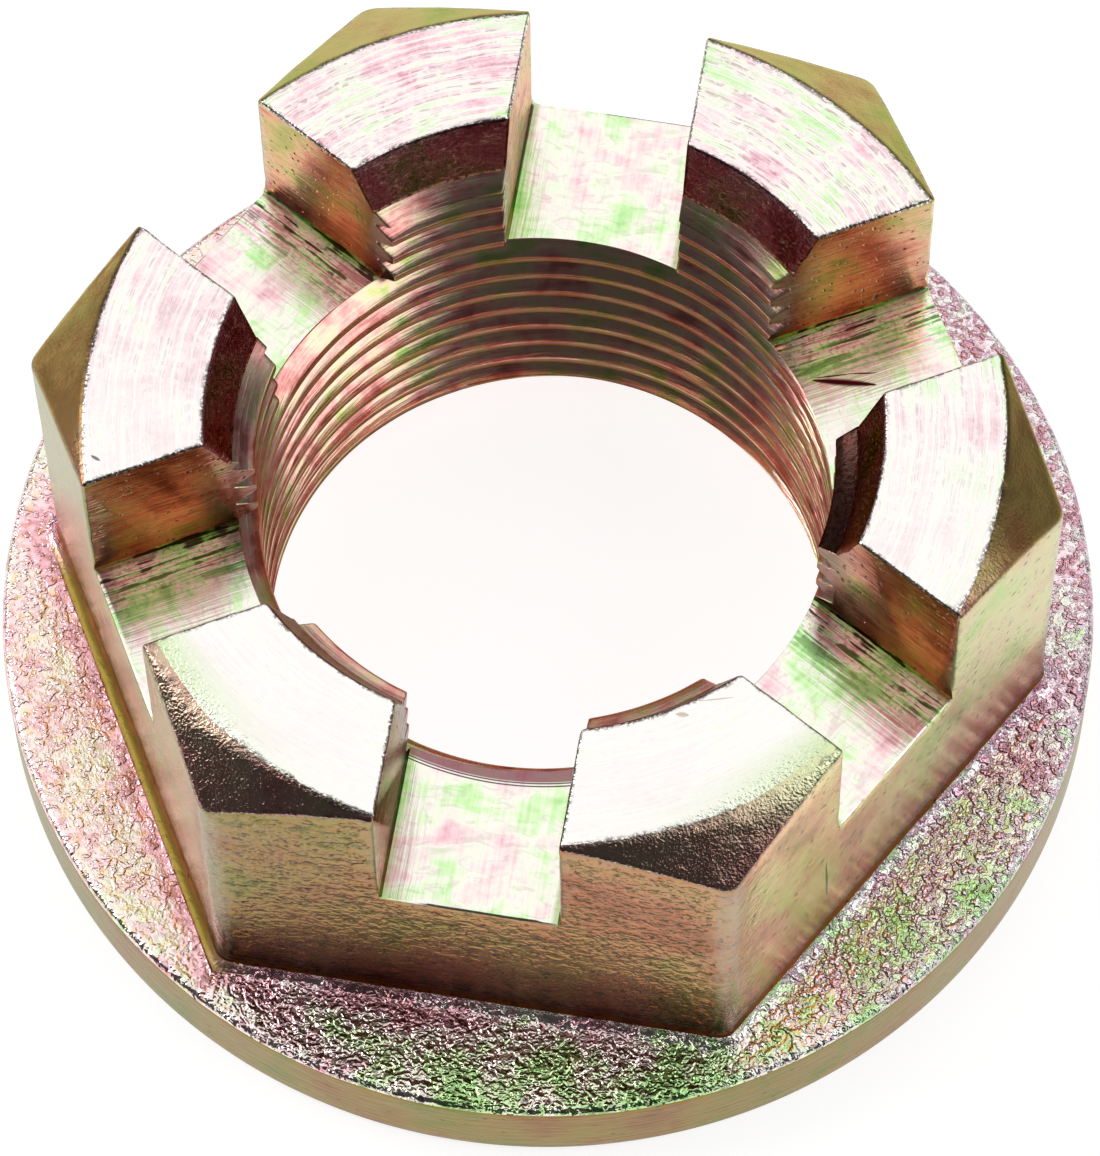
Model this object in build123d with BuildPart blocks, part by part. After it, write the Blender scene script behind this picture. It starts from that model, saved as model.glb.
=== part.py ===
from build123d import *
from math import cos, radians, sqrt, tan
import os

# A castellated hexagon axle nut with a collar flange, made in one piece. The blank is hot forged
# and its ends are countersunk. It is then tapped M24 x 1.5, its castle end is turned to a cone, and
# three cuts straight across leave six slots for a split pin, with six teeth between them.
# Sizes are in millimetres. The origin is the centre of the bearing face, Z points to the castle
# end, the hexagon has corners on the X axis, and each slot is in the middle of a flat.

# Hexagon
across_flats = 35.0
overall_height = 21.0
hexagon_rounding = 0.8
foot_fillet = 0.7

# Flange, which stands out all round from the hexagon's sharp corners and is 44 mm across
flange_overhang = 1.79
flange_thickness = 4.1
rim_rounding = 0.4
bearing_bevel = 0.4

# Cone turned on the corners at the castle end, with its slope from the top face
crown_diameter = 35.3
cone_slope = 35.0

# Slots for the split pin
slot_count = 6
slot_width = 7.0
slot_depth = 7.6
slot_fillet = 0.4

# Thread, which the solid has as a plain bore at its crests
thread_diameter = 24.0
thread_pitch = 1.5

# Recess at the castle end: a steep wall down to the thread's roots, then a flatter floor.
# Both angles are from the axis
recess_diameter = 26.0
recess_wall_angle = 23.0
recess_floor_angle = 60.0

# Countersink at the bearing face, with its angle from the axis
lead_in_diameter = 26.0
lead_in_angle = 45.0

# Broken edges round the teeth's top faces
edge_break = 0.25

corner_radius = across_flats / 2 / cos(radians(30))
flange_radius = corner_radius + flange_overhang
crown_radius = crown_diameter / 2
recess_radius = recess_diameter / 2
lead_in_radius = lead_in_diameter / 2
root_radius = thread_diameter / 2
thread_triangle = sqrt(3) / 2 * thread_pitch
bore_radius = root_radius - 5 / 8 * thread_triangle
slot_floor = overall_height - slot_depth

cone_drop = (flange_radius - crown_radius) * tan(radians(cone_slope))
recess_wall_depth = (recess_radius - root_radius) / tan(radians(recess_wall_angle))
recess_floor_depth = (root_radius - bore_radius) / tan(radians(recess_floor_angle))
lead_in_depth = (lead_in_radius - bore_radius) / tan(radians(lead_in_angle))

with BuildPart() as axle_nut:
    # Everything round: the bearing face with its bevel, the rim, the cone, the top face, the
    # recess, the bore and its lead-in
    with BuildSketch(Plane.XZ):
        with BuildLine():
            Polyline(
                (lead_in_radius, 0),
                (flange_radius, 0),
                (flange_radius, overall_height - cone_drop),
                (crown_radius, overall_height),
                (recess_radius, overall_height),
                (root_radius, overall_height - recess_wall_depth),
                (bore_radius, overall_height - recess_wall_depth - recess_floor_depth),
                (bore_radius, lead_in_depth),
                close=True,
            )
        make_face()
        chamfer(vertices().group_by(Axis.Y)[0].sort_by(Axis.X)[-1], bearing_bevel)
        chamfer(vertices().group_by(Axis.Y)[-1], edge_break)
    revolve(axis=Axis.Z)

    # The hexagon, with worn corners: what lies round it goes, down to the flange
    with BuildSketch(Plane.XY.offset(flange_thickness)):
        Circle(2 * flange_radius)
        with BuildSketch(mode=Mode.SUBTRACT):
            RegularPolygon(across_flats / 2, 6, major_radius=False)
            fillet(vertices(), hexagon_rounding)
    extrude(amount=overall_height, mode=Mode.SUBTRACT)

    # A small fillet round the hexagon's foot, and the rim's upper edge, which is the longest there
    flange_top = edges().filter_by_position(Axis.Z, flange_thickness, flange_thickness)
    *foot, rim = flange_top.sort_by(SortBy.LENGTH)
    fillet(foot, foot_fillet)
    fillet(rim, rim_rounding)

    # Each cut goes straight across and makes two slots. The cutter leaves a flat floor with rounded
    # corners, and it bevels the walls' top edges. The first cut runs along Y
    for cut in range(slot_count // 2):
        with BuildSketch(Plane.XZ.rotated((0, 0, cut * 360 / slot_count))):
            with BuildLine():
                Polyline(
                    (-slot_width / 2, slot_floor),
                    (slot_width / 2, slot_floor),
                    (slot_width / 2, overall_height - edge_break),
                    (slot_width / 2 + 2 * edge_break, overall_height + edge_break),
                    (-slot_width / 2 - 2 * edge_break, overall_height + edge_break),
                    (-slot_width / 2, overall_height - edge_break),
                    close=True,
                )
            make_face()
            fillet(vertices().group_by(Axis.Y)[0], slot_fillet)
        extrude(amount=flange_radius, both=True, mode=Mode.SUBTRACT)

axle_nut.part.label = "axle_nut"

os.makedirs("parts", exist_ok=True)
export_step(axle_nut.part, "parts/axle_nut.step")

print("flange:", round(2 * flange_radius, 3), "mm across")
print("bore at the thread's crests:", round(2 * bore_radius, 3), "mm across")
print("slot floors:", round(slot_floor, 3), "mm above the bearing face")
print("volume:", round(axle_nut.part.volume, 1), "cubic mm")
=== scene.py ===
import bmesh
import bpy
import numpy as np
from mathutils import Matrix, Vector


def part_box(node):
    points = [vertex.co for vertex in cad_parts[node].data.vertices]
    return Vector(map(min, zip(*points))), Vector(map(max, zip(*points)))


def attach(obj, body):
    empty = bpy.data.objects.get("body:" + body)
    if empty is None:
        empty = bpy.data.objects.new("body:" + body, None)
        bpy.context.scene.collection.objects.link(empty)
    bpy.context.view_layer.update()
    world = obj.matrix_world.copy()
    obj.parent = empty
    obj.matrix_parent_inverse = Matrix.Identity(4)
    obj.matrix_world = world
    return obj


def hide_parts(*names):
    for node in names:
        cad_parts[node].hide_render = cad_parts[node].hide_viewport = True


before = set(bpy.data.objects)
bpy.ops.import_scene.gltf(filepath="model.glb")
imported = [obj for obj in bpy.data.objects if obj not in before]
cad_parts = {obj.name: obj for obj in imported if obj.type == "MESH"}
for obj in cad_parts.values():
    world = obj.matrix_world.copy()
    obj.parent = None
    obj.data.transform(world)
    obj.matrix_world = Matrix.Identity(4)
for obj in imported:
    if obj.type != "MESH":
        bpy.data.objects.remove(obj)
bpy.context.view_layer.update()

# %% [markdown]
# All sizes below are in millimetres, and the mesh is brought to metres at the end. The overall
# sizes come from the frame. The others repeat the solid's own sizes, but for the slots' corners,
# which look sharper in the photograph than the solid's 0.4 mm.
# %% Sizes of the nut
MM = 0.001
TINY = 1e-9
_, node_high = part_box("axle_nut")
height = node_high.z / MM
flange_radius = node_high.x / MM
flange_thickness = 4.1
rim_rounding = 0.4
bearing_bevel = 0.4

half_across_flats = 35.0 / 2
hexagon_rounding = 0.8
foot_fillet = 0.7

crown_radius = 35.3 / 2
cone_slope = np.tan(np.radians(35.0))

half_slot = 7.0 / 2
slot_floor = height - 7.6
slot_fillet = 0.15

pitch = 1.5
root_radius = 24.0 / 2
thread_depth = 5 / 8 * np.sqrt(3) / 2 * pitch
crest_radius = root_radius - thread_depth

recess_radius = 26.0 / 2
recess_wall_lean = 23.0
recess_foot = height - (recess_radius - root_radius) / np.tan(np.radians(recess_wall_lean))
recess_floor_slope = np.tan(np.radians(60.0))
lead_in_radius = 26.0 / 2
print("thread crests at radius", round(crest_radius, 3), "mm, recess foot at", round(recess_foot, 2), "mm")

# %% [markdown]
# The photograph was taken with a long lens from above. The camera's place was worked out from the
# nut's own corners: the flange's rim, the teeth's corners and the bore's edge all fall where the
# photograph has them.
# %% Camera
PHOTO_LONG_SIDE = 1156
FOCAL_LENGTH_PX = 7155.6
SENSOR = 36.0
azimuth, elevation, roll = np.radians((10.54, 65.35, -1.03))
camera_distance = 12.997 * flange_radius
aim_height = 0.3 * flange_radius
aim_shift = np.array((0.0051, -0.0046)) * flange_radius

level = np.array((np.cos(azimuth), np.sin(azimuth), 0.0))
forward = np.array((-np.sin(azimuth), np.cos(azimuth), 0.0))
back = np.sin(elevation) * np.array((0, 0, 1)) - np.cos(elevation) * forward
steep = np.cross(back, level)
right = np.cos(roll) * level + np.sin(roll) * steep
up = np.cos(roll) * steep - np.sin(roll) * level
place = np.array((0, 0, aim_height)) + aim_shift[0] * level + aim_shift[1] * steep + camera_distance * back

camera = bpy.data.objects.new("camera", bpy.data.cameras.new("camera"))
bpy.context.scene.collection.objects.link(camera)
bpy.context.scene.camera = camera
camera.data.sensor_width = SENSOR
camera.data.lens = FOCAL_LENGTH_PX * SENSOR / PHOTO_LONG_SIDE
camera.data.clip_start, camera.data.clip_end = 0.01, 10
turn = Matrix((right, up, back)).transposed().to_4x4()
camera.matrix_world = Matrix.Translation(Vector(place * MM)) @ turn
print("camera", round(camera_distance), "mm away, lens", round(camera.data.lens), "mm")

# %% [markdown]
# A column of the mesh is the outline that one upright cut through the nut shows, from the bore
# over the top face and down to the bearing face. Seen from above, each column is a straight line.
# In a slot the lines run parallel to the slot, and across a tooth they fan out from one wall to
# the other, so every slot wall lies exactly on a column. The last column is the first one again,
# a full turn on, because the thread has climbed by one pitch there.
# %% Columns
SECTORS = 6
TURN = 360 / SECTORS
TOOTH_STEPS = [1, 1.3, 1.9, 2.8, 4, 5, 6, 7, 7.5, 8, 8, 8, 8, 7.5, 7, 6, 4.5, 3, 1.8, 1.2, 1]
SLOT_STEPS = [1, 1.3, 1.6, 2.2, 3] + [3.6] * 7


def both_ways(steps):
    """Positions from -1 to 1. Those from 0 to 1 are at distances in proportion to the steps, from
    the last step to the first, and the others are their mirror image."""
    ends = np.concatenate(([0.0], np.cumsum(steps)))
    half = ends / ends[-1]
    return np.concatenate((half - 1, (1 - half)[-2::-1]))


across_tooth, across_slot = both_ways(TOOTH_STEPS), both_ways(SLOT_STEPS)
tooth_columns, slot_columns = len(across_tooth), len(across_slot)


def all_round(tooth_values, slot_values):
    """One value for each column, from the values over one tooth and over the slot after it."""
    sector = np.append(tooth_values, slot_values)
    return np.append(np.tile(sector, SECTORS), sector[0])


slot_ones = np.ones(slot_columns)
column_corner = np.append(np.repeat(TURN * np.arange(SECTORS), tooth_columns + slot_columns), 360)
column_turn = column_corner + TURN / 2 * all_round(across_tooth, slot_ones)
column_flat = column_corner + TURN / 2 * all_round(np.where(across_tooth < 0, -1, 1), slot_ones)
column_shift = half_slot * all_round(-across_tooth, across_slot)
in_slot = all_round(0 * across_tooth, slot_ones) > 0
columns = len(in_slot)
print(columns, "columns,", tooth_columns, "over each tooth and", slot_columns, "over each slot")

# %% Where a column meets the circles and the hexagon


def along_at(radius):
    """How far along its line a column meets a circle round the axis: the square root of the
    radius squared less the line's distance from the axis squared."""
    return np.sqrt(radius ** 2 - column_shift ** 2)


def along_at_hexagon():
    """How far along its line a column meets the hexagon. On a flat it is where the point's part
    along the flat's own direction is half the size across flats. Near a corner it is where the
    line meets the small circle that rounds the corner."""
    lean = np.radians(column_flat - column_turn)
    on_flat = (half_across_flats - column_shift * np.sin(lean)) / np.cos(lean)
    to_corner = np.radians(column_corner - column_turn)
    middle = (half_across_flats - hexagon_rounding) / np.cos(np.radians(TURN / 2))
    off_line = column_shift - middle * np.sin(to_corner)
    on_round = middle * np.cos(to_corner) + np.sqrt(np.maximum(hexagon_rounding ** 2 - off_line ** 2, 0))
    beside_corner = on_flat * np.sin(-to_corner) + column_shift * np.cos(to_corner)
    near = np.abs(beside_corner) < hexagon_rounding * np.sin(np.radians(TURN / 2))
    return np.where(near & ~in_slot, on_round, on_flat)


hexagon = along_at_hexagon()
print("hexagon from", round(hexagon.min(), 2), "to", round(hexagon.max(), 2), "mm along the columns")

# %% [markdown]
# The thread is a groove that climbs 1.5 mm for each turn. Its rows climb with it, so a row always
# lies on the same edge or slope of the groove, and the edges stay crisp all the way round.
# %% Thread
THREAD_START = 1.43
CREST_ROUNDING = 0.08
column_angle = column_turn + np.degrees(np.arcsin(column_shift / ((crest_radius + root_radius) / 2)))


def thread_radius(turned, z):
    """The thread's radius at an angle in degrees and a height. The distance from the nearest crest
    is worked out along the axis. Within an eighth of the pitch it is the flat crest, then the
    groove's side falls away at 30 degrees from level, down to the root. Where the side would start
    at depth d, the rounded one is at (d + sqrt(dd + rr)) / 2."""
    climbed = (z - THREAD_START) / pitch - turned / 360
    from_crest = np.abs(climbed - np.round(climbed)) * pitch
    depth = (from_crest - pitch / 8) / np.tan(np.radians(30))
    rounded = (depth + np.hypot(depth, CREST_ROUNDING)) / 2
    return crest_radius + np.minimum(rounded, thread_depth)


def bore_radius(turned, z):
    """The thread, opened by the lead-in below and by the recess's floor above."""
    lead_in = lead_in_radius - z
    recess_floor = root_radius - (recess_foot - z) * recess_floor_slope
    return np.maximum(np.maximum(thread_radius(turned, z), lead_in), recess_floor)


edge = pitch / 8
root = edge + thread_depth * np.tan(np.radians(30))
crest_half, shoulder_end = 0.13, 0.23
one_thread = np.array((-root, -shoulder_end, -crest_half, crest_half, shoulder_end, (root + edge) / 2, root))
first_thread = int(np.floor(-THREAD_START / pitch)) - 2
last_thread = int(np.ceil(recess_foot / pitch)) + 1
thread_rows = (one_thread[None] + pitch * np.arange(first_thread, last_thread)[:, None]).ravel()
climb = THREAD_START + thread_rows[:, None] + pitch * column_angle[None] / 360
print(len(one_thread), "rows for each thread, the crest flat for", round(2 * crest_half, 2), "mm")

# %% [markdown]
# Between the corners of its outline a column runs straight, and each corner is rounded. The
# outline is put together from stretches, and each stretch knows which way is outwards. A rounded
# corner is a curve of the second degree, which touches both sides where it starts and ends.
# %% Stretches of an outline
MOST_OF_A_SIDE = 0.45


def pair(along, z):
    """One point on each column: how far along the column's line, and how high."""
    return np.stack(np.broadcast_arrays(along + 0 * column_shift, z), -1)


def outward(direction):
    """The direction turned a quarter to the left. That is outwards, because the outline runs up the
    bore, over the top and down the outside."""
    turned = np.stack((-direction[..., 1], direction[..., 0]), -1)
    return turned / np.maximum(np.linalg.norm(turned, axis=-1, keepdims=True), TINY)


def straight(start, end, steps):
    """Points at equal distances from start on, without the end: start + share (end - start)."""
    share = (np.arange(steps) / steps)[:, None, None]
    points = start + share * (end - start)
    return points, np.broadcast_to(outward(end - start), points.shape)


def corner_ends(before, corner, after, size):
    """Where a rounded corner starts and ends: a size away from the corner on both sides, but never
    past the middle of a short side."""
    ends = []
    for other in (before, after):
        reach = np.linalg.norm(other - corner, axis=-1, keepdims=True)
        step = np.minimum(size, MOST_OF_A_SIDE * reach)
        ends.append(corner + (other - corner) / np.maximum(reach, TINY) * step)
    return ends


def round_off(start, corner, end, steps):
    """A rounded corner: (1-t)(1-t) start + 2t(1-t) corner + tt end, for t from 0 to just under 1."""
    t = (np.arange(steps) / steps)[:, None, None]
    points = (1 - t) ** 2 * start + 2 * t * (1 - t) * corner + t ** 2 * end
    return points, outward((1 - t) * (corner - start) + t * (end - corner))


def outline(corners, sizes, straight_steps, round_steps):
    """An outline through the corners, straight between them and rounded at each inner one. Its
    last point is left for the next outline to start with."""
    parts = []
    here = corners[0]
    for i in range(1, len(corners) - 1):
        start, end = corner_ends(corners[i - 1], corners[i], corners[i + 1], sizes[i - 1])
        parts.append(straight(here, start, straight_steps[i - 1]))
        parts.append(round_off(start, corners[i], end, round_steps[i - 1]))
        here = end
    parts.append(straight(here, corners[-1], straight_steps[-1]))
    return [np.concatenate(values) for values in zip(*parts)]


# %% [markdown]
# The edges of a turned and milled part are nearly sharp. On two teeth, though, the edge between the
# top face and the cone is rolled over towards one end, where the part has been knocked about.
# %% Broken and rolled edges
EDGE_BREAK = 0.17
ROLLED = {224: 1.5, 316: 1.7}
ROLL_SPREAD = 13
FRONT = 270
rolled_share = sum(np.exp(-((column_angle % 360 - rolled_at) / ROLL_SPREAD) ** 2) for rolled_at in ROLLED)
rolled_edge = EDGE_BREAK + rolled_share * np.where(column_angle % 360 < FRONT, *ROLLED.values())

# %% Up the bore
shoulder_z = slot_floor + slot_fillet
to_wall = half_slot - np.abs(column_shift)
floor_rise = slot_fillet - np.sqrt(slot_fillet ** 2 - np.clip(slot_fillet - to_wall, 0, None) ** 2)
floor_z = slot_floor + floor_rise

bore_z = np.clip(climb, 0, np.where(in_slot, floor_z, recess_foot))
is_wall = ~in_slot & (to_wall < TINY)
first_above = np.argmax(climb > shoulder_z, axis=0)
snapped = is_wall & (np.arange(len(bore_z))[:, None] == first_above)
bore_z = np.where(snapped, shoulder_z, bore_z)
bore_along = np.sqrt(bore_radius(column_angle, bore_z) ** 2 - column_shift ** 2)
bore = np.stack((bore_along, bore_z), -1)
bore_out = np.broadcast_to((-1.0, 0.0), bore.shape)
bore_rows = len(bore)

# %% Over a tooth, and over a slot's floor
RECESS_STEPS, TOP_STEPS, CONE_STEPS, ROUND_STEPS = 6, 18, 12, 4
UPPER_FLAT_STEPS = 9
BELOW_FLOOR = 3
from_axis = np.hypot(hexagon, column_shift)
cone_z = height - (from_axis - crown_radius) * cone_slope

tooth_corners = [pair(along_at(root_radius), recess_foot), pair(along_at(recess_radius), height),
                 pair(along_at(crown_radius), height), pair(hexagon, cone_z), pair(hexagon, shoulder_z)]
over_tooth = outline(tooth_corners, [EDGE_BREAK, rolled_edge[:, None], EDGE_BREAK],
                     [RECESS_STEPS, TOP_STEPS, CONE_STEPS, UPPER_FLAT_STEPS], [ROUND_STEPS] * 3)
top_rows = len(over_tooth[0])

floor_break = EDGE_BREAK * np.clip(to_wall / slot_fillet, 0, 1)
floor_corner = pair(hexagon, floor_z)
over_floor = outline([bore[-1], floor_corner, pair(hexagon, floor_z - BELOW_FLOOR)], [floor_break[:, None]],
                     [top_rows - ROUND_STEPS, 1], [ROUND_STEPS])
over_top = [np.where(in_slot[:, None], floor_points[:top_rows], tooth_points)
            for floor_points, tooth_points in zip(over_floor, over_tooth)]

# %% Down the outside
LOWER_FLAT_STEPS, FOOT_STEPS, FLANGE_STEPS, RIM_ROUND_STEPS, RIM_STEPS = 14, 6, 22, 5, 8
BEVEL_STEPS, BEARING_STEPS, BEVEL_ROUND_STEPS = 2, 9, 3
BEVEL_ROUNDING = 0.12
shoulder = pair(hexagon, np.where(in_slot, floor_z - floor_break, shoulder_z))
mouth = pair(along_at(lead_in_radius), 0)
outside_corners = [shoulder, pair(hexagon, flange_thickness),
                   pair(along_at(flange_radius), flange_thickness),
                   pair(along_at(flange_radius), bearing_bevel),
                   pair(along_at(flange_radius - bearing_bevel), 0), mouth]
outside = outline(outside_corners, [foot_fillet, rim_rounding, BEVEL_ROUNDING, BEVEL_ROUNDING],
                  [LOWER_FLAT_STEPS, FLANGE_STEPS, RIM_STEPS, BEVEL_STEPS, BEARING_STEPS],
                  [FOOT_STEPS, RIM_ROUND_STEPS, BEVEL_ROUND_STEPS, BEVEL_ROUND_STEPS])
profile = np.concatenate((bore, over_top[0], outside[0], mouth[None]))
profile_out = np.concatenate((bore_out, over_top[1], outside[1], outside[1][-1:]))
rows = len(profile)
shoulder_row = bore_rows + top_rows
print(rows, "rows:", bore_rows, "up the bore,", top_rows, "over the top,", rows - shoulder_row, "below")

# %% [markdown]
# The slots were cut last, and their edges were broken only by the plating and by handling. Near a
# wall every column is drawn in a little, along its own outward direction, so the edge is round. How
# far it is drawn in changes along the edge, which is why the edge looks torn and not filed.
# %% Smooth noise in space
CELLS = 64
LATTICE = np.random.default_rng(24).uniform(-1, 1, (CELLS, CELLS, CELLS))


def noise(points, size):
    """Smooth noise from -1 to 1. Space is cut into cubes of the given size, every corner of a cube
    has a random value, and a point takes a blend of its cube's eight, weighted by 3tt - 2ttt."""
    cell = points / size + CELLS / 2
    corner = np.floor(cell).astype(int)
    t = cell - corner
    t = t * t * (3 - 2 * t)
    total = 0
    for step in np.ndindex(2, 2, 2):
        weight = np.where(step, t, 1 - t).prod(-1)
        total = total + weight * LATTICE[tuple(np.moveaxis((corner + step) % CELLS, -1, 0))]
    return total


def in_space(points):
    """Points as x, y and z: the column's direction times the length along it, and the direction a
    quarter turn on times the column's shift."""
    a = np.radians(column_turn)
    x = points[..., 0] * np.cos(a) - column_shift * np.sin(a)
    y = points[..., 0] * np.sin(a) + column_shift * np.cos(a)
    return np.stack((x, y, points[..., 1]), -1)


# %% Break the edges along the walls
TORN_SIZE = 0.45
TORN_MIDDLE, TORN_SWING = 0.75, 0.5
FADE_HEIGHT, SHARE_IN_BORE = 0.5, 0.2
lean = np.radians(column_turn - column_flat)
beside_slot = profile[..., 0] * np.sin(lean) + column_shift * np.cos(lean)
from_wall = np.where(in_slot, half_slot, np.abs(beside_slot) - half_slot)
overlap = np.clip(EDGE_BREAK - from_wall, 0, None)
inset = EDGE_BREAK - np.sqrt(np.clip(EDGE_BREAK ** 2 - overlap ** 2, 0, None))
keep = np.clip((profile[..., 1] - shoulder_z) / FADE_HEIGHT, 0, 1)
keep[:bore_rows] *= SHARE_IN_BORE
keep[shoulder_row:] = 0
torn = TORN_MIDDLE + TORN_SWING * noise(in_space(profile), TORN_SIZE)
profile = profile - (inset * keep * torn)[..., None] * profile_out
print("edges drawn in by up to", round((inset * keep * torn).max(), 3), "mm")

# %% [markdown]
# Each row of faces belongs to a surface that was made in its own way: tapped, turned, milled or
# forged. The surface gives the face its material, and the points their unevenness. On the tooth at
# the right the recess's dark plating runs further down into the bore.
# %% Surfaces
SURFACES = ("thread", "recess", "top_face", "cone", "hexagon", "slot_floor", "slot_wall", "flange_top",
            "rim", "bearing_face")
number = {name: i for i, name in enumerate(SURFACES)}


def row_surfaces(*stretches):
    """The surface of each row, from pairs of a surface's name and a count of rows."""
    return np.concatenate([np.full(count, number[name]) for name, count in stretches])


LOW_FOOT_STEPS, RIM_EDGE_STEPS = 4, 4
DARK_BELOW_RECESS = 1.3
outside_surfaces = row_surfaces(
    ("hexagon", LOWER_FLAT_STEPS + FOOT_STEPS - LOW_FOOT_STEPS),
    ("flange_top", LOW_FOOT_STEPS + FLANGE_STEPS + RIM_EDGE_STEPS),
    ("rim", RIM_ROUND_STEPS - RIM_EDGE_STEPS + RIM_STEPS + BEVEL_ROUND_STEPS + BEVEL_STEPS),
    ("bearing_face", BEVEL_ROUND_STEPS + BEARING_STEPS + 1))
tooth_surfaces = np.concatenate((
    row_surfaces(("thread", bore_rows), ("recess", RECESS_STEPS + 2), ("top_face", TOP_STEPS + ROUND_STEPS),
                 ("cone", CONE_STEPS + ROUND_STEPS), ("hexagon", UPPER_FLAT_STEPS + 2)), outside_surfaces))
floor_surfaces = np.concatenate((
    row_surfaces(("thread", bore_rows), ("slot_floor", top_rows - 2), ("hexagon", 2)), outside_surfaces))
surface = np.where(in_slot, floor_surfaces[:, None], tooth_surfaces[:, None])
on_right_tooth = np.cos(np.radians(column_turn)) > np.cos(np.radians(TURN / 2 - 0.1))
surface[:bore_rows][(bore_z > recess_foot - DARK_BELOW_RECESS) & on_right_tooth] = number["recess"]
print({name: int((surface == i).sum()) for name, i in number.items()})

# %% [markdown]
# Forging leaves a face uneven, and cutting leaves it nearly flat. Both are noise in space, each at
# its own size and depth. The points only ever move inwards, so the nut keeps its size.
# %% Unevenness
depth_and_size = {"thread": (0.012, 0.9), "recess": (0.02, 0.8), "top_face": (0.012, 0.8),
                  "cone": (0.05, 0.7), "hexagon": (0.05, 0.9), "slot_floor": (0.012, 0.7),
                  "flange_top": (0.07, 0.55), "rim": (0.05, 2.0)}
at_rest = in_space(profile)
sink = np.zeros(surface.shape)
for name, (depth, size) in depth_and_size.items():
    rough = 0.6 * noise(at_rest, size) + 0.4 * noise(at_rest + 5, size / 2)
    sink = np.where(surface == number[name], depth * (0.5 + 0.5 * rough), sink)
sink[0] = sink[-1] = 0
sink = np.where(profile[..., 1] < bearing_bevel, 0, sink)
points = in_space(profile - sink[..., None] * profile_out)
print("points sink by up to", round(sink.max(), 3), "mm")

# %% Faces


def vertex(row, column):
    """The number of a point of the grid, counted along its rows."""
    return row * columns + column


row, column = np.meshgrid(np.arange(rows - 1), np.arange(columns - 1), indexing="ij")
joined = in_slot[:-1] == in_slot[1:]
row, column = row[:, joined].ravel(), column[:, joined].ravel()
quads = np.stack((vertex(row, column), vertex(row + 1, column), vertex(row + 1, column + 1),
                  vertex(row, column + 1)), 1)

walls = []
slot_line = np.arange(shoulder_row - 1, bore_rows - 1, -1)
for slot_start in np.flatnonzero(~in_slot[:-1] & in_slot[1:]) + 1:
    slot_end = slot_start + slot_columns - 1
    for tooth_side, slot_side, facing in ((slot_start - 1, slot_start, 1), (slot_end + 1, slot_end, -1)):
        tooth_line = np.arange(first_above[tooth_side], shoulder_row + 1)
        loop = np.concatenate((vertex(tooth_line, tooth_side), vertex(slot_line, slot_side)))
        walls.append(loop[::facing].tolist())
print(len(quads), "quads and", len(walls), "slot walls of about", len(walls[0]), "corners")

# %% [markdown]
# Four things are kept with each point for the materials. One is the point's place in the frame of
# the nearest slot: along the slot, across it, and up. The second is how far it lies behind the
# slot's middle line, as the photograph sees it. The third is its distance from the nearest edge that
# stands out, where handling has rubbed the plating. The fourth is how much the edge near it is rolled.
# %% What the points carry
FAR = 9.0
ROLL_START, ROLL_REACH = 1.4, 1.3
RUBBED_CORNER = 0.35
flat_direction = np.radians(column_flat)
slot_frame = np.stack((
    at_rest[..., 0] * np.cos(flat_direction) + at_rest[..., 1] * np.sin(flat_direction),
    at_rest[..., 1] * np.cos(flat_direction) - at_rest[..., 0] * np.sin(flat_direction),
    at_rest[..., 2]), -1)
# The slot floors use this to place their painted reflection of the wall behind them.
behind = slot_frame[..., 1] * np.cos(flat_direction)


def distance_to(corner):
    """How far each point of the profile is from a corner of its own column."""
    return np.linalg.norm(profile - corner, axis=-1)


# The materials rub the plating along these edges. On the top faces the rubbed line is partly a painted dark
# reflection, and on the hexagon's corners partly a painted highlight.
to_edge = np.where(keep > 0.5, from_wall, FAR)
for corner in tooth_corners[1:4]:
    to_edge = np.minimum(to_edge, np.where(in_slot, FAR, distance_to(corner)))
to_edge = np.minimum(to_edge, np.where(in_slot, distance_to(floor_corner), FAR))
for corner in outside_corners[2:4]:
    to_edge = np.minimum(to_edge, distance_to(corner))
to_edge[:bore_rows] = FAR
from_rolled = distance_to(tooth_corners[2])
rolled = np.where(in_slot, 0, rolled_share * np.clip(ROLL_START - from_rolled / ROLL_REACH, 0, 1))
turned_from_corner = np.radians(column_turn - column_corner)
beside_corner = np.abs(hexagon * np.sin(turned_from_corner) + column_shift * np.cos(turned_from_corner))
on_hexagon = (surface == number["hexagon"]) & ~in_slot
to_edge = np.where(on_hexagon, np.minimum(to_edge, np.clip(beside_corner - RUBBED_CORNER, 0, None)), to_edge)

# %% The mesh
MERGE_WITHIN, SHARP_FROM = 0.0005, 40
mesh = bpy.data.meshes.new("axle_nut")
mesh.from_pydata((points * MM).reshape(-1, 3), [], quads.tolist() + walls)
face_surface = np.append(surface[row, column], [number["slot_wall"]] * len(walls))
mesh.polygons.foreach_set("material_index", face_surface.astype(np.int32))
mesh.attributes.new("slot_frame", "FLOAT_VECTOR", "POINT").data.foreach_set("vector", slot_frame.ravel())
for name, values in {"behind": behind, "to_edge": to_edge, "rolled": rolled}.items():
    mesh.attributes.new(name, "FLOAT", "POINT").data.foreach_set("value", values.ravel())

shell = bmesh.new()
shell.from_mesh(mesh)
bmesh.ops.remove_doubles(shell, verts=shell.verts, dist=MERGE_WITHIN * MM)
open_edges = sum(1 for e in shell.edges if len(e.link_faces) != 2)
shell.to_mesh(mesh)
shell.free()
mesh.shade_smooth()
mesh.set_sharp_from_angle(angle=np.radians(SHARP_FROM))
print(len(mesh.vertices), "points,", len(mesh.polygons), "faces,", open_edges, "edges without two faces")

nut = bpy.data.objects.new("axle_nut_skin", mesh)
bpy.context.scene.collection.objects.link(nut)
mesh.calc_loop_triangles()
print(len(mesh.loop_triangles), "triangles")

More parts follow.
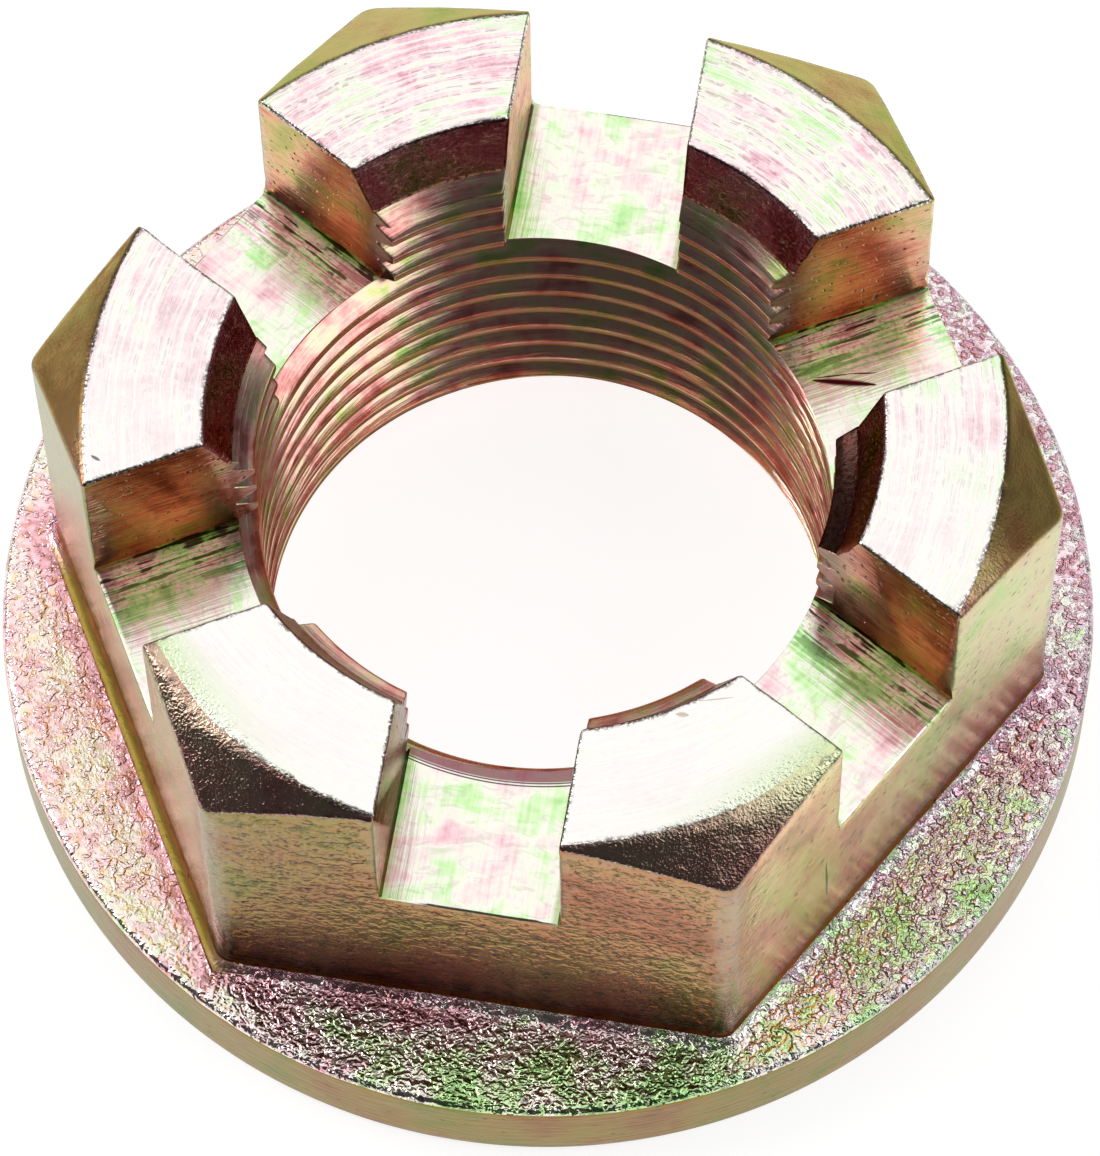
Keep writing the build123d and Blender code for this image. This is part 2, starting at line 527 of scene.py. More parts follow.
# %% [markdown]
# The finish is zinc with a yellow passivation, a film so thin that it shows the colours of an oil
# film: gold where it is thickest, then pink, then a pale green. Under it is bare metal, so every
# surface is fully metallic, and the film is only its tint.
#
# A node tree reads best as a formula. So what comes out of a node is held as a wire, and plain
# arithmetic with wires adds the Math nodes. The helpers all add to the tree that was opened last.
# %% Wires


class Wire:
    """What comes out of a node. Arithmetic with it adds Math nodes to the open tree."""

    def __init__(self, socket):
        self.socket = socket

    def __add__(self, other):
        return calculate("ADD", self, other)

    def __sub__(self, other):
        return calculate("SUBTRACT", self, other)

    def __rsub__(self, other):
        return calculate("SUBTRACT", other, self)

    def __mul__(self, other):
        return calculate("MULTIPLY", self, other)

    def __truediv__(self, other):
        return calculate("DIVIDE", self, other)

    def __abs__(self):
        return calculate("ABSOLUTE", self)


def wires(sockets):
    """A node's outputs as wires, by name and by number."""
    return {key: Wire(socket) for i, socket in enumerate(sockets) for key in (socket.name, i)}


def work_on(node_tree):
    """Opens a node tree."""
    global tree
    tree = node_tree


def connect(socket, value):
    """Joins a socket to a wire, or sets it to a plain value."""
    if isinstance(value, Wire):
        tree.links.new(value.socket, socket)
    else:
        socket.default_value = value


def put(kind, inputs=None, **settings):
    """Adds a node of a kind, sets it up, fills its inputs by name or number, and returns its wires."""
    node = tree.nodes.new("ShaderNode" + kind)
    for name, value in settings.items():
        setattr(node, name, value)
    for name, value in (inputs or {}).items():
        connect(node.inputs[name], value)
    return wires(node.outputs)


# %% Numbers, places and colours


def calculate(operation, *values):
    """One step of arithmetic on numbers."""
    return put("Math", dict(enumerate(values)), operation=operation)[0]


def vectors(operation, *values, give="Vector"):
    """One step of arithmetic on vectors."""
    return put("VectorMath", dict(enumerate(values)), operation=operation)[give]


def scaled(vector, share):
    """A vector times a number."""
    return put("VectorMath", {0: vector, "Scale": share}, operation="SCALE")["Vector"]


def parts(vector):
    """A vector's x, y and z."""
    separated = put("SeparateXYZ", {0: vector})
    return separated[0], separated[1], separated[2]


def along_x(value):
    """A vector along X that is as long as the value."""
    return put("CombineXYZ", {0: value})[0]


def between(value, start, end, low=0.0, high=1.0):
    """Goes smoothly from low to high as the value goes from start to end."""
    inputs = {"Value": value, "From Min": start, "From Max": end, "To Min": low, "To Max": high}
    return put("MapRange", inputs, interpolation_type="SMOOTHSTEP")[0]


def ease(share, low, high):
    """Goes smoothly from low to high as a share goes from 0 to 1."""
    return between(share, 0.0, 1.0, low, high)


def blend_numbers(share, first, second):
    """The first number, and the share of the second that takes its place."""
    return put("Mix", {0: share, 2: first, 3: second}, data_type="FLOAT")[0]


def place_in_mm():
    """A point's place in the nut's own frame, in millimetres."""
    return scaled(put("TexCoord")["Object"], 1 / MM)


def carried(name, kind="Fac"):
    """What the points carry under a name."""
    return put("Attribute", attribute_name=name)[kind]


def speckle(place, size, detail=2.0, roughness=0.5):
    """Noise from 0 to 1 on a place in mm, with lumps of about the size given."""
    inputs = {"Vector": place, "Scale": 1 / size, "Detail": detail, "Roughness": roughness}
    return put("TexNoise", inputs)["Fac"]


def screen(colour):
    """Red, green and blue from 0 to 255, as a screen shows them, as the light that a shader works
    with. A wire stays as it is."""
    if isinstance(colour, Wire):
        return colour
    share = np.array(colour) / 255
    light = np.where(share < 0.04045, share / 12.92, ((share + 0.055) / 1.055) ** 2.4)
    return (*(float(v) for v in light), 1.0)


def blend(share, first, second, how="MIX"):
    """The first colour, and the share of the second that is laid over it."""
    inputs = {0: share, 6: screen(first), 7: screen(second)}
    return put("Mix", inputs, data_type="RGBA", blend_type=how)[2]


def stained(colour, *stains, how="MULTIPLY"):
    """Stains a colour with one stain after another. Each has a mask, an amount and a colour."""
    for mask, amount, stain in stains:
        colour = blend(mask * amount, colour, stain, how)
    return colour


def covered(colour, *covers):
    """Covers a colour, as stained does, but with colours that take its place."""
    return stained(colour, *covers, how="MIX")


# %% [markdown]
# What several surfaces share is a node group, built once and placed in each material with its own
# values. The Principled shader stays in the material.
# %% Node groups


def new_group(name, inputs, outputs):
    """Opens an empty node group. Its inputs are names with their usual values, where four numbers
    are a colour, three a vector and one a plain number. Its outputs are names."""
    group = bpy.data.node_groups.new(name, "ShaderNodeTree")
    for socket_name, value in inputs.items():
        kind = {1: "Float", 3: "Vector", 4: "Color"}[np.size(value)]
        socket = group.interface.new_socket(socket_name, in_out="INPUT", socket_type="NodeSocket" + kind)
        socket.default_value = value
    for socket_name in outputs:
        kind = "Color" if socket_name == "Color" else "Float"
        group.interface.new_socket(socket_name, in_out="OUTPUT", socket_type="NodeSocket" + kind)
    work_on(group)
    entry = wires(group.nodes.new("NodeGroupInput").outputs)
    leave = group.nodes.new("NodeGroupOutput").inputs
    return group, entry, leave


def use(group, **inputs):
    """Places a node group in the open tree and returns its wires."""
    return put("Group", inputs, node_tree=group)


# %% [markdown]
# The film's thickness wanders over a few millimetres and follows the tool marks a little, and a
# colour ramp turns the thickness into the film's colour. Every surface uses the same ramp, with its
# own metal tint, its own size of patches and its own share of pink and green.
# %% Passivation film
WHITE = (255, 255, 255)
USUAL_THICKNESS = 0.46
FILM_COLOURS = {0.0: (0.42, 0.86, 0.30), 0.22: (0.66, 1.0, 0.52), 0.40: (0.95, 1.0, 0.88),
                0.52: (1.0, 0.97, 0.94), 0.66: (1.0, 0.80, 0.86), 0.82: (0.96, 0.56, 0.68),
                1.0: (0.62, 0.32, 0.36)}
film, entry, leave = new_group("passivation_film", {
    "Tint": (0.8, 0.7, 0.5, 1.0), "Strength": 1.0, "Shift": 0.0, "Spread": 1.8, "Patch": 3.0,
    "Marks": 0.5, "Follow": 0.0}, ["Color"])
wander = speckle(vectors("DIVIDE", place_in_mm(), entry["Patch"]), 1.0, 4.0, 0.6) - 0.5
follow = (entry["Marks"] - 0.5) * entry["Follow"]
thickness = wander * entry["Spread"] + follow + USUAL_THICKNESS + entry["Shift"]
ramp = tree.nodes.new("ShaderNodeValToRGB")
connect(ramp.inputs[0], thickness)
stops = ramp.color_ramp.elements
for position, colour in FILM_COLOURS.items():
    stop = stops[0] if position == 0.0 else stops[-1] if position == 1.0 else stops.new(position)
    stop.color = (*colour, 1)
tinted = blend(entry["Strength"], WHITE, Wire(ramp.outputs["Color"]))
connect(leave["Color"], blend(1.0, entry["Tint"], tinted, "MULTIPLY"))

# %% [markdown]
# A cutting tool leaves lines that run the way it moved. They are noise that is stretched: it changes
# fast across the lines and slowly along them, and it wobbles a little, as the real lines do. Where
# the noise passes through its middle value there is a thin line, which is where the metal has torn.
# %% Tool marks
marks, entry, leave = new_group("tool_marks", {
    "Across": 0.0, "Along": (0.0, 0.0, 0.0), "Spacing": 0.2, "Length": 8.0, "Wobble": 0.1},
    ["Marks", "Coarse", "Lines"])
wobble = speckle(place_in_mm(), 1.6) - 0.5
across = (wobble * entry["Wobble"] + entry["Across"]) / entry["Spacing"]
along = parts(vectors("DIVIDE", entry["Along"], entry["Length"]))
line_place = put("CombineXYZ", {0: across, 1: along[0], 2: along[1]})[0]
line_noise = speckle(line_place, 1.0, 2.0, 0.6)
torn_here = between(speckle(place_in_mm(), 0.35), 0.40, 0.56)
connect(leave["Marks"], line_noise)
connect(leave["Coarse"], speckle(line_place, 5.0))
connect(leave["Lines"], between(abs(line_noise - 0.5), 0.035, 0.0) * torn_here)

# %% Pits
pits, entry, leave = new_group("pits", {"Size": 0.3, "Share": 0.3}, ["Pits"])
place = place_in_mm()
warp = put("TexNoise", {"Vector": place, "Scale": 3.0, "Detail": 1.0})["Color"]
bent = vectors("MULTIPLY_ADD", warp, (0.3, 0.3, 0.3), place)
cells = put("TexVoronoi", {"Vector": vectors("DIVIDE", bent, entry["Size"]), "Scale": 1.0})
chosen = calculate("LESS_THAN", parts(cells["Color"])[0], entry["Share"])
connect(leave["Pits"], between(cells["Distance"], 0.45, 0.05) * chosen)

# %% [markdown]
# Forged faces have a grain of soft lumps. Where the lumps are low there are creases, which the
# materials darken. Where they pass through their middle height there are winding valleys, like the
# tracks of worms, with pillows between them. On the flange's top the darkened valleys and creases
# are painted shade.
# %% Grain
grain, entry, leave = new_group("grain", {"Size": 0.3}, ["Grain", "Creases", "Worms"])
lumps = speckle(vectors("DIVIDE", place_in_mm(), entry["Size"]), 1.0, 2.0, 0.55)
connect(leave["Grain"], lumps)
connect(leave["Creases"], between(lumps, 0.44, 0.36))
connect(leave["Worms"], between(abs(lumps - 0.5), 0.0, 0.15))

# %% [markdown]
# A few marks happened once, such as a nick from another part or a hairline scratch. Each is a short
# straight line that is widest in its middle, so its mask is the distance from the line between two
# points of the nut, compared with a width that goes as 4t(1-t) along it.
# %% Scratches
scratch, entry, leave = new_group("scratch", {
    "Start": (0.0, 0.0, 0.0), "End": (0.0, 0.0, 1.0), "Width": 0.1}, ["Scratch"])
run = vectors("SUBTRACT", entry["End"], entry["Start"])
reach = vectors("SUBTRACT", place_in_mm(), entry["Start"])
ahead = vectors("DOT_PRODUCT", reach, run, give="Value")
whole = vectors("DOT_PRODUCT", run, run, give="Value")
share = put("Clamp", {"Value": ahead / whole})[0]
beside = vectors("DISTANCE", reach, scaled(run, share), give="Value")
half_width = (share * (1.0 - share) * 1.6 + 0.1) * entry["Width"]
connect(leave["Scratch"], between(beside, half_width, half_width * 0.3))


def scratches(*lines):
    """The mask of several scratches, each given by its start, its end and its width in mm."""
    masks = [use(scratch, Start=start, End=end, Width=width)["Scratch"] for start, end, width in lines]
    total = masks[0]
    for mask in masks[1:]:
        total = calculate("MAXIMUM", total, mask)
    return total


# %% Rubbed edges
rubbed, entry, leave = new_group("rubbed_edges", {"Width": 0.25}, ["Rubbed"])
reach = entry["Width"] * between(speckle(place_in_mm(), 0.8, 3.0), 0.32, 0.7, 0.3, 2.0)
connect(leave["Rubbed"], between(carried("to_edge"), reach, reach * 0.3))


def rub(colour, width, amount, bare):
    """Rubs the edges down to a bare colour. The rubbed line is broken up into crumbs."""
    crumbs = between(speckle(place_in_mm(), 0.13, 1.0), 0.38, 0.54)
    return covered(colour, (use(rubbed, Width=width)["Rubbed"] * crumbs, amount, bare))


# %% [markdown]
# Every surface ends the same way: a metal shader that takes a colour, a roughness and a bump, whose
# depth is given in millimetres. What differs is how each of the three is made. In the bore, where the
# film is thickest, it tints the metal at a grazing angle too, where bare metal would turn white.
# %% How a surface ends
STEEL = (118, 110, 104)
GRAZING_TINT = screen((190, 166, 140))


def plated(name, build):
    """Makes a material. The build function returns the colour, the roughness, the height from 0 to
    1, and the depth in mm that a height of 1 stands for."""
    material = bpy.data.materials.new(name)
    material.use_nodes = True
    work_on(material.node_tree)
    colour, roughness, bump_height, depth = build()
    bump = put("Bump", {"Height": bump_height, "Distance": depth * MM, "Strength": 1.0})[0]
    values = {"Base Color": colour, "Roughness": roughness, "Normal": bump, "Metallic": 1.0}
    if name in ("thread", "recess"):
        values["Specular Tint"] = GRAZING_TINT
    for socket_name, value in values.items():
        connect(tree.nodes["Principled BSDF"].inputs[socket_name], value)
    return material


def film_over(tint, **inputs):
    """The colour of a metal under the film."""
    return use(film, Tint=screen(tint), **inputs)["Color"]


def round_the_axis():
    """A point's distance from the axis, and its direction from the axis."""
    flat = vectors("MULTIPLY", place_in_mm(), (1, 1, 0))
    return vectors("LENGTH", flat, give="Value"), vectors("NORMALIZE", flat)


# %% [markdown]
# The faces that were turned on a lathe have rings round the axis. The top face and the bearing face
# were cut level, so their rings lie side by side along the radius.
# %% Turned faces


def top_face():
    """Turned last and nearly white, with fine torn rings, and pink and green where the film is
    thick. The front teeth are almost bare."""
    radius, direction = round_the_axis()
    _, y, _ = parts(place_in_mm())
    rings = use(marks, Across=radius, Along=direction, Spacing=0.2, Length=0.5, Wobble=0.3)
    lumps = use(grain, Size=0.14)["Grain"]
    rolled_here = carried("rolled")
    strength = between(y, -9.0, 13.0, 0.1, 0.85)
    colour = film_over((254, 250, 247), Strength=strength, Shift=0.07, Spread=1.5, Patch=2.8,
                       Marks=rings["Marks"] * 0.8 + lumps * 0.2, Follow=1.5)
    colour = stained(colour, (rings["Lines"], strength * 0.8, (186, 150, 158)),
                     (rolled_here, 0.8, (200, 236, 160)))
    # The dark grey line along the edges is partly rubbed plating and partly a painted dark reflection of the
    # rounded edges.
    colour = rub(colour, 0.14, 0.85, (118, 112, 102))
    nick = scratches(((-16.75, -4.38, height), (-16.37, -4.54, height), 0.2))
    faint = scratches(((6.92, -11.33, height), (7.4, -11.3, height), 0.3),
                      ((7.72, -10.66, height), (9.0, -10.29, height), 0.09))
    torn_edge = scratches(((-10.8, 10.02, height), (-9.8, 9.8, height), 0.3))
    colour = stained(colour, (nick, 0.85, (86, 70, 84)), (faint, 0.8, (196, 186, 160)),
                     (torn_edge, 0.9, (206, 128, 138)))
    heights = blend_numbers(rolled_here, lumps * 0.6 + rings["Marks"], lumps * 2.4)
    return colour, between(rings["Coarse"], 0.3, 0.7, 0.18, 0.26), heights, 0.03


def cone():
    """Turned on the forged corners: olive and smooth at the back. At the front it is grainy, and mirrors
    the dark of the room but for the grains that catch the light."""
    x, y, _ = parts(place_in_mm())
    front = between(y, -1.0, -9.0)
    olive = blend(between(x, 12.0, 16.0), (188, 172, 100), (176, 150, 92))
    crumbs = use(grain, Size=0.11)["Grain"]
    pinker = between(x, -13.0, -17.0) * ease(front, 0.38, 0.14)
    colour = film_over(blend(front, olive, (206, 178, 160)), Strength=0.7, Spread=1.9, Patch=3.2,
                       Shift=ease(front, 0.06, 0.24) + pinker, Marks=crumbs, Follow=0.6)
    # Where the edge is rolled the cone is covered pale green: green film and a painted highlight of the
    # rolled edge.
    colour = covered(colour, (carried("rolled"), between(x, -6.0, 4.0, 0.2, 0.9), (226, 244, 190)))
    colour = rub(colour, 0.16, 0.7, STEEL)
    heights = (use(grain, Size=0.5)["Grain"] * 1.2 + crumbs) * ease(front, 0.28, 1.0)
    return colour, ease(front, 0.24, 0.16), heights, 0.026


def recess():
    """The recess's wall: dark maroon to dark green, finely mottled, with a light line that comes and goes
    at its foot. The floor below the foot is darker still."""
    _, direction = round_the_axis()
    _, _, up = parts(place_in_mm())
    mottle = use(grain, Size=0.18)
    tool = use(marks, Across=up, Along=direction, Spacing=0.3, Length=0.1, Wobble=0.6)
    colour = film_over((122, 86, 92), Shift=0.14, Spread=3.2, Marks=mottle["Grain"], Follow=0.5)
    colour = stained(colour, (mottle["Creases"], 0.4, (120, 96, 90)))
    foot = between(up, recess_foot + 0.16, recess_foot + 0.05) * between(mottle["Grain"], 0.42, 0.52)
    light = calculate("MAXIMUM", tool["Lines"] * 0.4, foot)
    below = between(up, recess_foot + 0.02, recess_foot - 0.05)
    colour = covered(colour, (light, 0.7, (215, 195, 182)), (below, 0.95, (58, 27, 21)))
    return colour, 0.24, mottle["Grain"] * ease(below, 1.0, 0.2), 0.04


def bearing_face():
    """Faced flat on a lathe, from the lead-in to the bevel."""
    radius, direction = round_the_axis()
    rings = use(marks, Across=radius, Along=direction, Spacing=0.22, Length=0.7, Wobble=0.1)["Marks"]
    colour = film_over((232, 214, 184), Strength=0.6, Patch=4.0, Marks=rings, Follow=0.6)
    return rub(colour, 0.3, 0.9, STEEL), 0.27, rings, 0.04


# %% Thread


def thread():
    """Tapped: pink, gold and green on the groove's sides. The crests, which the radius tells, are
    covered dark as a painted dark reflection. The recess's floor above is plated the same."""
    radius, direction = round_the_axis()
    _, _, up = parts(place_in_mm())
    lines = use(marks, Across=up, Along=direction, Spacing=0.08, Length=0.3, Wobble=0.1)["Marks"]
    colour = film_over((246, 214, 190), Strength=0.95, Shift=0.12, Spread=2.6, Patch=2.0, Marks=lines,
                       Follow=0.8)
    crest = between(radius, crest_radius + 0.06, crest_radius + 0.02)
    # The dark cover on the crests is a painted dark reflection.
    return covered(colour, (crest, 0.85, (96, 68, 52))), 0.2, lines, 0.014


# %% [markdown]
# The slots were milled, so their marks run along the slot. Each point knows its place in the frame
# of the nearest slot, and the six slots share two materials.
# %% Milled slots


def slot_floor_finish():
    """Milled along the slot: smooth, with soft patches from pale green to pink. Thin lines lie across
    it where the cutter chattered. Next to the wall behind its middle line it has a painted reflection
    of that wall: streaky dark maroon, with darker creases and a shifted film colour."""
    along, across, _ = parts(carried("slot_frame", "Vector"))
    streaks = use(marks, Across=across, Along=along_x(along), Spacing=0.16, Length=5.0, Wobble=0.1)
    chatter = use(marks, Across=along, Along=along_x(across), Spacing=0.9, Length=4.0, Wobble=0.9)
    behind_middle = carried("behind")
    # How far the floor lies behind its middle line sets its painted reflection of the wall there.
    wall_reflection_share = between(behind_middle, 0.2, 2.2)
    both = chatter["Marks"] * 0.6 + streaks["Marks"] * 0.4
    colour = film_over((254, 252, 244), Strength=0.9, Shift=wall_reflection_share * -0.12,
                       Spread=blend_numbers(wall_reflection_share, 1.8, 2.8), Patch=2.3,
                       Marks=blend_numbers(wall_reflection_share, both, streaks["Marks"]),
                       Follow=blend_numbers(wall_reflection_share, 1.3, 3.6))
    wandering = between(speckle(place_in_mm(), 0.9), 0.36, 0.56, -0.06, 0.08)
    # Tool streaks darkened towards that wall: the wall's painted reflection.
    wall_reflection_streak = between(streaks["Marks"] + wandering, 0.5, 0.4)
    wall_reflection_streak_share = blend_numbers(between(behind_middle, 0.6, 2.6), 0.03, 0.95)
    green_strip = between(abs(across), half_slot - 0.42, half_slot - 0.2)
    creases = use(grain, Size=0.16)["Creases"]
    colour = stained(colour, (between(chatter["Marks"], 0.42, 0.3), 0.25, (200, 170, 170)),
                     (chatter["Lines"], 0.2, (170, 150, 140)), (wall_reflection_streak, wall_reflection_streak_share, (96, 48, 54)),
                     (green_strip, 0.7, (170, 200, 130)), (creases, wall_reflection_share * 0.4, (130, 110, 90)))
    crack = scratches(((9.5, 6.98, slot_floor), (11.95, 7.2, slot_floor), 0.45),
                      ((9.5, 7.08, slot_floor), (10.9, 7.5, slot_floor), 0.1),
                      ((10.8, 7.49, slot_floor), (12.0, 7.74, slot_floor), 0.1))
    radius, direction = round_the_axis()
    front = between(parts(direction)[1], -0.9, -0.94)
    burr = between(radius, 11.9, 11.84) * front
    double_line = between(abs(abs(radius - 11.98) - 0.06), 0.045, 0.015) * front
    colour = covered(colour, (crack, 1.0, (78, 14, 26)), (burr, 0.85, (128, 62, 72)),
                     (double_line, 0.9, (60, 40, 40)))
    heights = chatter["Marks"] * 0.5 + streaks["Marks"]
    return colour, between(streaks["Coarse"], 0.3, 0.7, 0.15, 0.22), heights, 0.007


def slot_wall_finish():
    """The slots' walls: red-brown to olive, with faint scratches along the slot and small pits. They
    are dark towards the thread."""
    along, _, up = parts(carried("slot_frame", "Vector"))
    _, y, _ = parts(place_in_mm())
    streaks = use(marks, Across=up, Along=along_x(along), Spacing=0.16, Length=2.5, Wobble=0.2)
    pitted = use(pits, Size=0.24, Share=0.2)["Pits"]
    colour = film_over((226, 184, 142), Strength=0.8, Shift=0.11, Spread=2.5, Patch=2.6,
                       Marks=streaks["Marks"], Follow=1.2)
    colour = stained(colour, (pitted, 0.8, (80, 50, 36)), (streaks["Lines"], 0.5, (140, 96, 76)),
                     (between(up, slot_floor + 2.6, slot_floor + 0.2), 0.5, (190, 130, 110)),
                     (between(along, 12.9, 11.4), 0.75, (120, 76, 70)),
                     (between(y, -9.5, -11.5), 0.9, (172, 160, 84)))
    return colour, 0.23, streaks["Marks"] - pitted, 0.03


# %% [markdown]
# The forged faces differ most from side to side. So their tints and stains go by x and y, with a
# smooth step from one to the next.
# %% Forged faces


def hexagon_finish():
    """Forged flats: olive gold at the left to pink brown at the right. The front flat has a leathery
    grain and is darkened as painted shade, and the others are smoother, with small pits. The foot is
    gold, darkened as painted shade, and the corners are rubbed grey, partly worn plating and partly a
    painted highlight."""
    x, y, up = parts(place_in_mm())
    hammered = use(grain, Size=0.42)
    pitted = use(pits, Size=0.34, Share=0.3)["Pits"]
    front = between(y, -15.3, -17.3)
    left = between(x, -9.5, -11.5) * between(up, flange_thickness + 0.4, flange_thickness + 1.0)
    pinker = between(x, -8.0, 6.0, -0.04, 0.22) + between(x, 12.0, 16.0, 0.0, -0.2)
    tint = blend(between(x, 8.0, 12.0), (236, 204, 148), (246, 224, 160))
    tint = blend(between(x, 13.0, 17.0), tint, (214, 206, 146))
    colour = film_over(tint, Strength=0.75, Shift=pinker, Spread=1.7, Patch=4.0, Marks=hammered["Grain"],
                       Follow=blend_numbers(front, 0.2, 0.7))
    low_share = blend_numbers(front, between(x, 2.0, 10.0, 0.5, 0.95), 0.85)
    # The foot's gold stain is partly the film's gold and partly painted shade of the fillet.
    foot = between(up, flange_thickness + 2.0, flange_thickness + 1.2)
    hairline = scratches(((13.05, -12.39, 11.4), (13.17, -12.2, 7.4), 0.2),
                         ((14.26, -10.3, 10.4), (14.05, -10.68, 8.2), 0.1))
    # The first stain darkens the front flat: painted shade.
    colour = stained(colour, (front, 0.8, (186, 156, 136)),
                     (front, between(x, 0.0, -8.0) * 0.7, (190, 214, 150)), (left, 0.9, (160, 177, 112)),
                     (between(up, 10.5, 6.0), low_share, blend(front, (210, 150, 70), (194, 140, 92))),
                     (foot, 0.6, (190, 148, 76)),
                     (hammered["Creases"], blend_numbers(front, 0.1, 0.4), (110, 72, 44)),
                     (pitted, 0.8, (96, 70, 50)), (hairline, 0.9, (60, 36, 26)))
    # The light grey along the corners is partly worn plating and partly a painted highlight.
    colour = rub(colour, 0.2, 0.5, (160, 158, 138))
    above_foot = between(up, flange_thickness + 0.4, flange_thickness + 1.4, 0.4, 1.0)
    off_corner = ease(use(rubbed, Width=0.9)["Rubbed"], 1.0, 0.2)
    heights = hammered["Grain"] * (above_foot * blend_numbers(front, 0.05, 0.6) * off_corner)
    return colour, between(up, flange_thickness + 0.6, flange_thickness + 1.0, 0.5, 0.25), heights, 0.24


def flange_top_finish():
    """The flange's forged top, with a wormy grain whose valleys and creases are darkened as painted
    shade. On the left it is smoother and pink, with small yellow spots, and an olive band lies along
    the hexagon's foot: olive film, darkened as painted shade. At the front it is coarse, pink at the
    foot and green further out, and from there it gets redder towards the right."""
    x, y, _ = parts(place_in_mm())
    along, _, _ = parts(carried("slot_frame", "Vector"))
    left = between(x, -5.0, -14.0)
    front = between(y, -14.0, -18.0)
    fine = use(grain, Size=0.36)
    coarse = use(grain, Size=0.5)
    at_foot = between(along, half_across_flats + 1.7, half_across_flats + 0.5)
    at_foot = at_foot * between(x, 9.0, -3.0, 0.3, 1.0)
    green = between(y, -18.3, -19.8) * between(x, -9.0, 4.0)
    redder = between(x, 4.0, 10.0) * between(y, -13.0, 0.0, -0.17, 0.14)
    colour = film_over(blend(between(x, 6.0, 14.0), (255, 244, 240), (250, 242, 248)), Strength=0.9,
                       Shift=at_foot * 0.34 + between(x, 4.0, -12.0, 0.04, 0.12) - green * 0.28 + redder,
                       Spread=blend_numbers(front, ease(left, 1.4, 1.0), 1.9), Patch=1.7,
                       Marks=fine["Grain"], Follow=blend_numbers(front, ease(left, 1.3, 0.5), 0.5))
    yellow = between(speckle(place_in_mm(), 0.4, 1.0), 0.54, 0.68)
    painted_valley_shade = between(fine["Worms"], 0.34, 0.0)
    # Painted shade in the worm valleys, and at the front painted shade in the coarse creases.
    colour = stained(colour, (yellow, left * 0.5, (255, 240, 170)),
                     (painted_valley_shade, ease(front, 0.3, 0.0), blend(left, (70, 54, 50), (216, 148, 128))),
                     (coarse["Creases"], front * 0.2, (64, 50, 46)))
    # The olive band along the hexagon's foot: olive film, darkened as painted shade of the fillet.
    band = between(along, half_across_flats + 0.5, half_across_flats + 0.38)
    band = band * between(x, -8.5, -11.0) * between(y, 0.0, -2.5)
    colour = covered(colour, (band, 1.0, (152, 130, 60)))
    colour = rub(colour, 0.2, ease(left, 0.75, 0.35), (84, 74, 64))
    heights = blend_numbers(front, fine["Worms"] * 0.3 + fine["Grain"],
                            coarse["Worms"] * 0.3 + coarse["Grain"])
    calm = ease(left, 1.0, 0.42) * ease(band, 1.0, 0.3)
    return colour, ease(band, 0.18, 0.5), heights * calm, 0.15


def rim_finish():
    """The flange's rim: smooth olive, with faint level streaks."""
    _, direction = round_the_axis()
    _, _, up = parts(place_in_mm())
    streaks = use(marks, Across=up, Along=direction, Spacing=0.2, Length=0.1, Wobble=0.3)["Marks"]
    pitted = use(pits, Size=0.35, Share=0.06)["Pits"]
    colour = film_over((150, 126, 57), Strength=0.75, Shift=0.05, Spread=2.2, Patch=4.0, Marks=streaks,
                       Follow=0.6)
    colour = stained(colour, (pitted, 0.6, (110, 90, 70)))
    return rub(colour, 0.2, 0.4, STEEL), 0.3, streaks, 0.05


# %% Give every surface its material
FINISHES = {"thread": thread, "recess": recess, "top_face": top_face, "cone": cone,
            "hexagon": hexagon_finish, "slot_floor": slot_floor_finish, "slot_wall": slot_wall_finish,
            "flange_top": flange_top_finish, "rim": rim_finish, "bearing_face": bearing_face}
for name in SURFACES:
    mesh.materials.append(plated(name, FINISHES[name]))
print(len(mesh.materials), "finishes")

# %% [markdown]
# Metal shows what stands round it. The nut lies on a white floor under a big soft light that hangs
# above and behind it, with a smaller one on each side. Behind it the room is pale near the horizon,
# a little less so at the sides, and the rest is dark. That dark is what the front bevels and the
# thread's rear wall show.
# %% Floor
FLOOR_HALF = 3.0
FLOOR_COLOUR, FLOOR_LIFT = 0.35, 0.84
floor_mesh = bpy.data.meshes.new("floor")
floor_mesh.from_pydata([(-FLOOR_HALF, -FLOOR_HALF, 0), (FLOOR_HALF, -FLOOR_HALF, 0),
                        (FLOOR_HALF, FLOOR_HALF, 0), (-FLOOR_HALF, FLOOR_HALF, 0)], [], [(0, 1, 2, 3)])
floor = bpy.data.objects.new("floor", floor_mesh)
bpy.context.scene.collection.objects.link(floor)
paint = bpy.data.materials.new("floor_paint")
paint.use_nodes = True
work_on(paint.node_tree)
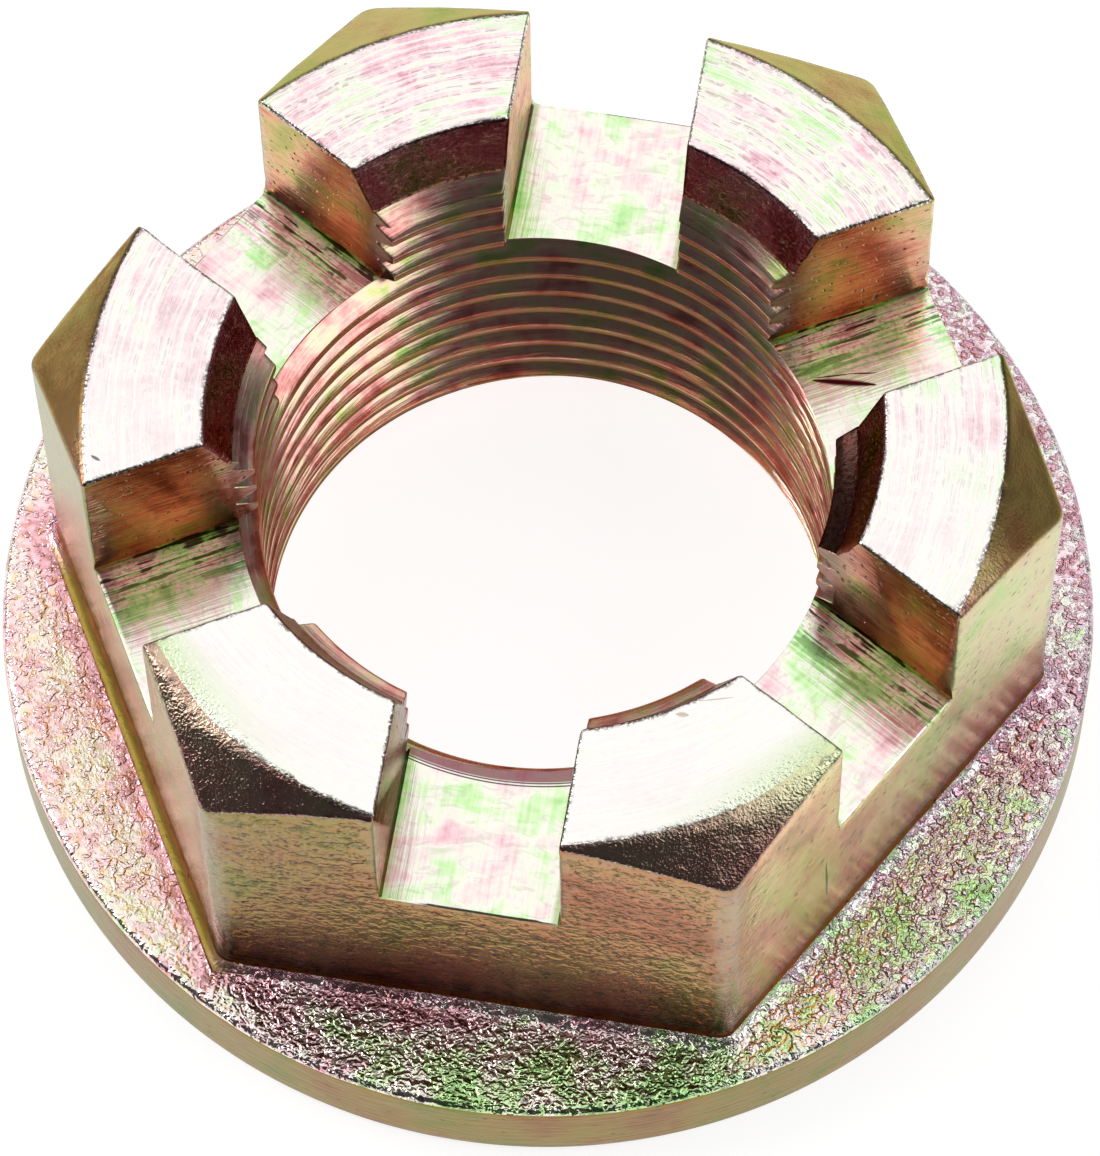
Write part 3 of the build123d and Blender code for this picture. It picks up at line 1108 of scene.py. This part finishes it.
ray = put("LightPath")
seen = ray["Is Camera Ray"] + ray["Is Glossy Ray"] + ray["Is Transmission Ray"]
paint_values = {"Base Color": (FLOOR_COLOUR, FLOOR_COLOUR, FLOOR_COLOUR, 1), "Roughness": 0.9,
                "Specular IOR Level": 0.0, "Emission Color": (1, 1, 1, 1),
                "Emission Strength": seen * FLOOR_LIFT}
for socket_name, value in paint_values.items():
    connect(tree.nodes["Principled BSDF"].inputs[socket_name], value)
floor_mesh.materials.append(paint)

# %% Lights


def softbox(name, azimuth, elevation, distance, size, radiance):
    """A square area lamp that looks at the nut from a direction in degrees, azimuth from +X. Its
    power is its radiance times its area times pi."""
    a, e = np.radians((azimuth, elevation))
    direction = Vector((np.cos(a) * np.cos(e), np.sin(a) * np.cos(e), np.sin(e)))
    lamp = bpy.data.lights.new(name, "AREA")
    lamp.shape = "SQUARE"
    lamp.size = size
    lamp.energy = radiance * size ** 2 * np.pi
    box = bpy.data.objects.new(name, lamp)
    bpy.context.scene.collection.objects.link(box)
    box.location = direction * distance
    box.rotation_euler = direction.to_track_quat("Z", "Y").to_euler()


softbox("overhead", 95, 66, 0.55, 0.8, 1.0)
softbox("left", 176, 39, 0.5, 0.24, 4.6)
softbox("right", -5, 43, 0.5, 0.34, 1.45)

# %% The room
ROOM, GLOW, SIDE_GLOW = 0.05, 0.7, 0.6
world = bpy.data.worlds.new("room")
bpy.context.scene.world = world
world.use_nodes = True
work_on(world.node_tree)
_, rearward, upward = parts(put("TexCoord")["Generated"])
rear_glow = between(rearward, 0.0, 0.7) * between(upward, 0.45, 0.0)
side_glow = between(rearward, -0.9, -0.4, 0.0, SIDE_GLOW / GLOW) * between(upward, 0.38, 0.05)
background = tree.nodes["Background"].inputs
connect(background["Color"], (1, 1, 1, 1))
connect(background["Strength"], calculate("MAXIMUM", rear_glow, side_glow) * GLOW + ROOM)
bpy.context.scene.view_settings.view_transform = "Standard"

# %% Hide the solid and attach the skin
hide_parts("axle_nut")
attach(nut, "root")
